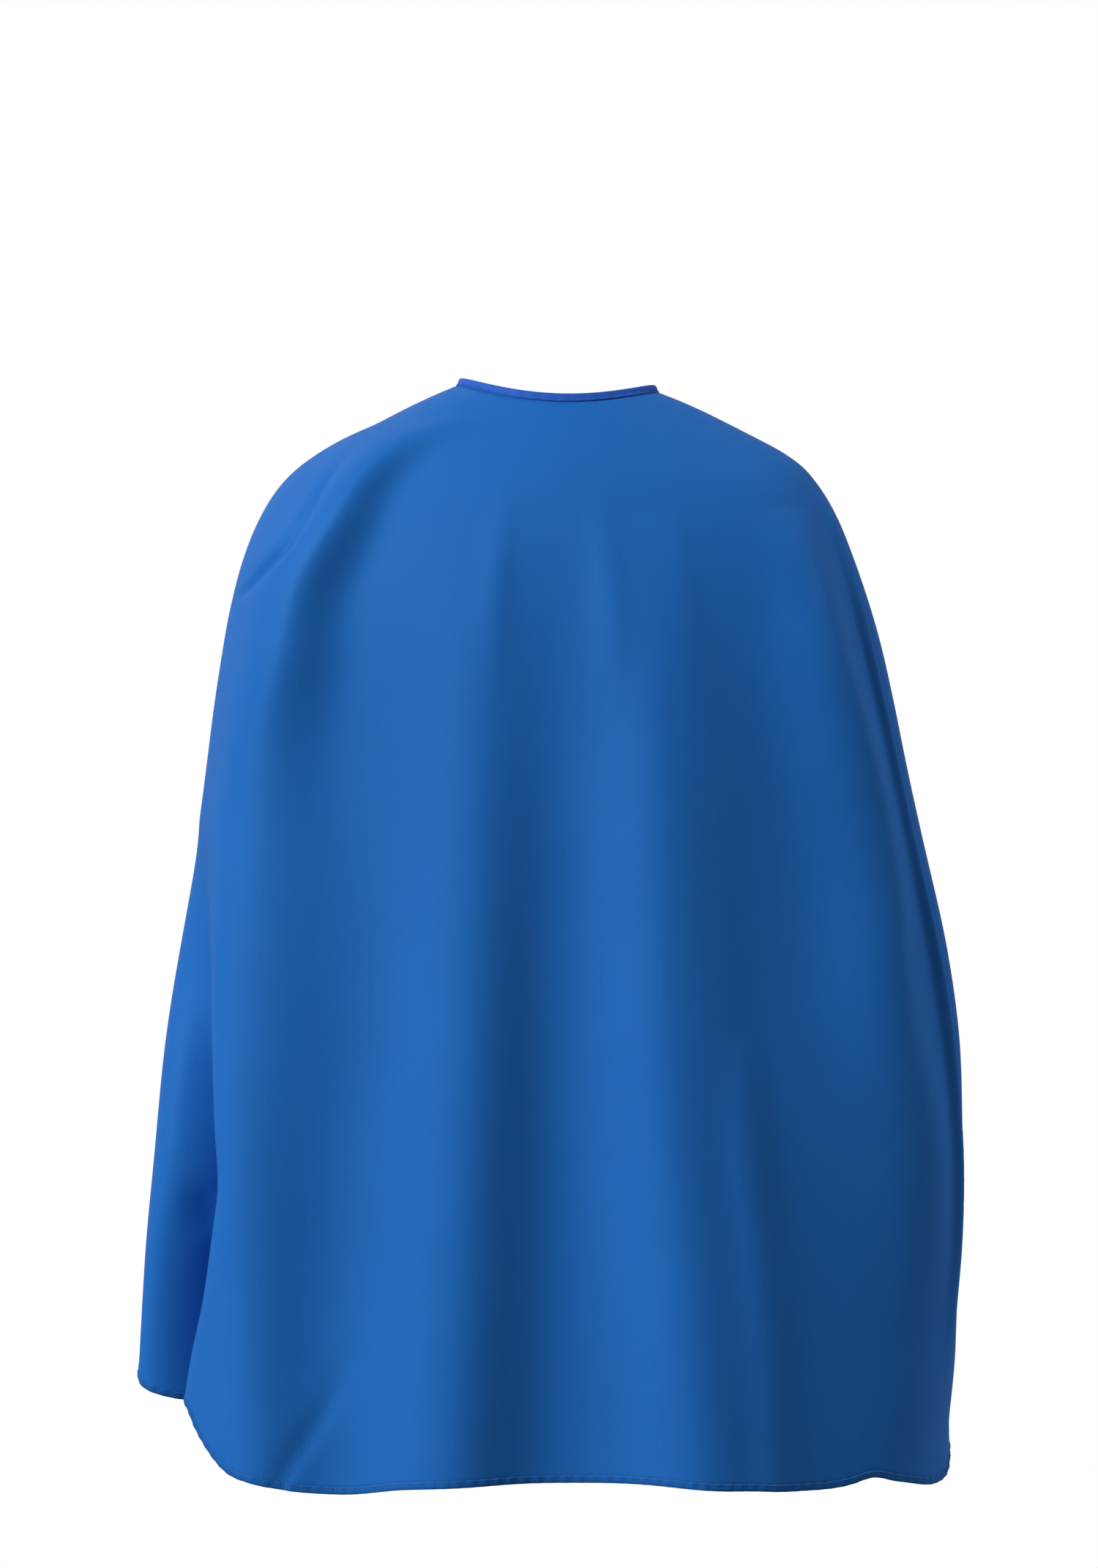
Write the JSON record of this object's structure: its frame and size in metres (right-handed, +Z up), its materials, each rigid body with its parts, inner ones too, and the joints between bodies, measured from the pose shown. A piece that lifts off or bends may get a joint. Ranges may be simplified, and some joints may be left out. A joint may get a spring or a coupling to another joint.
{
  "type": "superhero cape",
  "caption": "Adult costume cape in smooth blue satin, draped as worn, open at the front, with a bound neckline, a narrow hem and a hook-and-loop strap at the throat.",
  "frame": {"origin": "centre of the neck opening", "axes": "+Z up; the wearer faces -Y, so the back of the cape is on +Y and the wearer's left is +X"},
  "size_m": [0.7289, 0.3389, 0.9393],
  "materials": {
    "satin": "smooth polyester satin with a soft sheen",
    "binding": "folded satin bias tape",
    "thread": "spun polyester sewing thread",
    "hook_tape": "moulded nylon hooks on woven tape",
    "loop_tape": "brushed nylon loops on woven tape",
    "label": "blank woven ribbon"
  },
  "bodies": {
    "yoke": {"shoulder_yoke": "satin", "neck_binding": "binding", "neck_stitching": "thread", "yoke_edge_stitching": "thread", "strap_sewn_end": "satin", "strap_stitching": "thread", "loop_pad": "loop_tape", "loop_pad_stitching": "thread", "label_stitching": "thread"},
    "drape": {"back_drape": "satin", "left_wrap": "satin", "right_wrap": "satin", "hem_stitching": "thread"},
    "strap": {"closure_strap": "satin", "hook_pad": "hook_tape", "hook_pad_stitching": "thread"},
    "label": {"care_label": "label"}
  },
  "joints": [
    {"name": "cape_swing", "type": "hinge", "parent": "yoke", "child": "drape", "pos_m": [0, 0, -0.08], "axis": [1, 0, 0], "range_deg": [0, 30]},
    {"name": "strap_peel", "type": "hinge", "parent": "yoke", "child": "strap", "pos_m": [0.01, -0.08146, -0.04074], "axis": [-0.0982, 0.5939, 0.7985], "range_deg": [0, 150]},
    {"name": "label_flip", "type": "hinge", "parent": "yoke", "child": "label", "pos_m": [0, 0.06986, -0.00318], "axis": [-1, 0, 0], "range_deg": [0, 120]}
  ]
}
